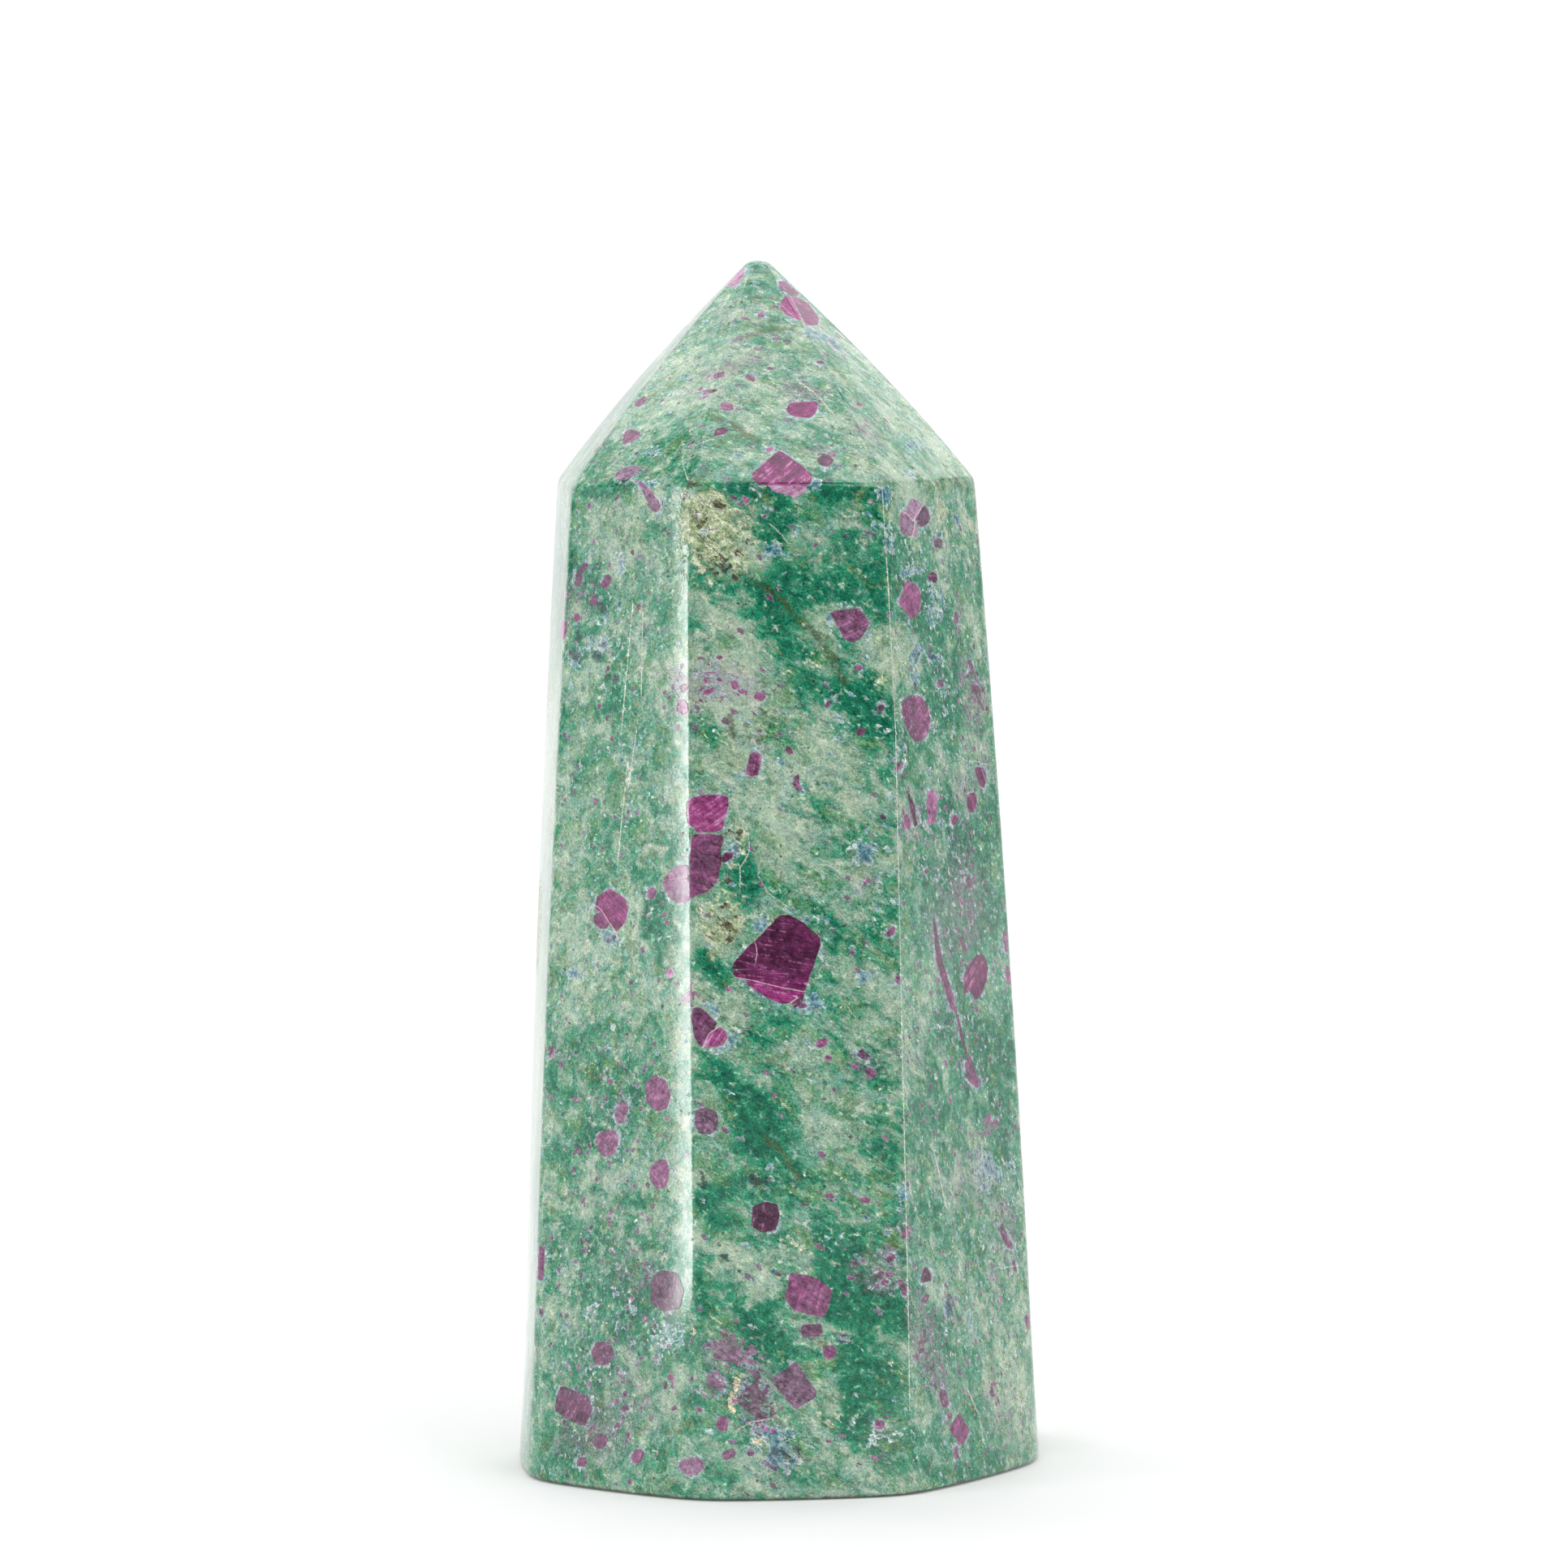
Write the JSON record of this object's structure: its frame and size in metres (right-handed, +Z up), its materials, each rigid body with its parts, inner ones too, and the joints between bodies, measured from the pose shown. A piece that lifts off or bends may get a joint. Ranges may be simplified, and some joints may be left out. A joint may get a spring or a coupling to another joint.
{
  "type": "ruby in fuchsite tower",
  "caption": "Polished eight-sided stone tower with a pointed top and a flat foot, green fuchsite with ruby crystals and blue kyanite, for display on a shelf or table.",
  "frame": {"origin": "middle of the bounding box, on the underside of the flat foot", "axes": "+Z up towards the tip, -Y towards the viewer of the picture with the widest facet, +X to the viewer's right"},
  "size_m": [0.0652, 0.0636, 0.15],
  "materials": {
    "stone": "polished green fuchsite with plum to magenta ruby crystals, blue kyanite rims and pale cream patches"
  },
  "bodies": {
    "root": {"tower": "stone"}
  },
  "joints": []
}
